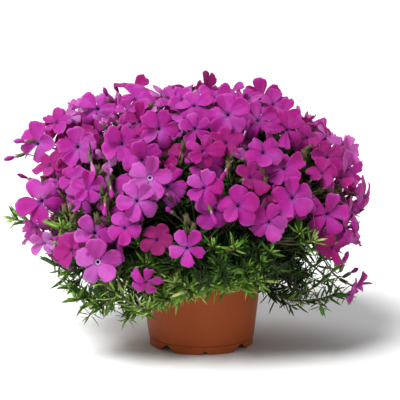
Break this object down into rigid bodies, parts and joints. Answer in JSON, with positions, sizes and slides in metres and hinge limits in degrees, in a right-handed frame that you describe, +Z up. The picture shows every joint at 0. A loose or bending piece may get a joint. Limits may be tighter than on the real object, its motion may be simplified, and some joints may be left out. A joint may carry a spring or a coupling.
{
  "type": "potted moss phlox",
  "caption": "Moss phlox in full bloom: a dome of magenta five-petalled flowers over needle-leaved stems in a small round terracotta-coloured plastic pot.",
  "frame": {"origin": "on the floor under the pot's axis, which is also the bottom centre of the bounding box to within 2 mm", "axes": "+Z up along the pot's axis; the side towards -Y is the front; +X runs to the right seen from the front"},
  "size_m": [0.2592, 0.2342, 0.1996],
  "materials": {
    "terracotta": "satin",
    "soil": "matte",
    "bark": "matte",
    "foliage": "matte",
    "petal": "satin"
  },
  "bodies": {
    "root": {"pot": "terracotta", "potting_soil": "soil", "root_crown": "bark", "flower_stem_01": "foliage", "blooms_01": "petal", "flower_stem_02": "foliage", "blooms_02": "petal", "flower_stem_03": "foliage", "blooms_03": "petal", "flower_stem_04": "foliage", "blooms_04": "petal", "flower_stem_05": "foliage", "blooms_05": "petal", "flower_stem_06": "foliage", "blooms_06": "petal", "flower_stem_07": "foliage", "blooms_07": "petal", "flower_stem_08": "foliage", "blooms_08": "petal", "flower_stem_09": "foliage", "blooms_09": "petal", "flower_stem_10": "foliage", "blooms_10": "petal", "flower_stem_11": "foliage", "blooms_11": "petal", "flower_stem_12": "foliage", "blooms_12": "petal", "flower_stem_13": "foliage", "blooms_13": "petal", "flower_stem_14": "foliage", "blooms_14": "petal", "flower_stem_15": "foliage", "blooms_15": "petal", "flower_stem_16": "foliage", "blooms_16": "petal", "flower_stem_17": "foliage", "blooms_17": "petal", "flower_stem_18": "foliage", "blooms_18": "petal", "flower_stem_19": "foliage", "blooms_19": "petal", "flower_stem_20": "foliage", "blooms_20": "petal", "flower_stem_21": "foliage", "blooms_21": "petal", "flower_stem_22": "foliage", "blooms_22": "petal", "flower_stem_23": "foliage", "blooms_23": "petal", "trailing_shoot_01": "foliage", "trailing_shoot_02": "foliage", "trailing_shoot_03": "foliage", "trailing_shoot_04": "foliage", "trailing_shoot_05": "foliage", "trailing_shoot_06": "foliage", "trailing_shoot_07": "foliage", "trailing_shoot_08": "foliage", "trailing_shoot_09": "foliage", "trailing_shoot_10": "foliage", "trailing_shoot_11": "foliage"}
  },
  "joints": []
}
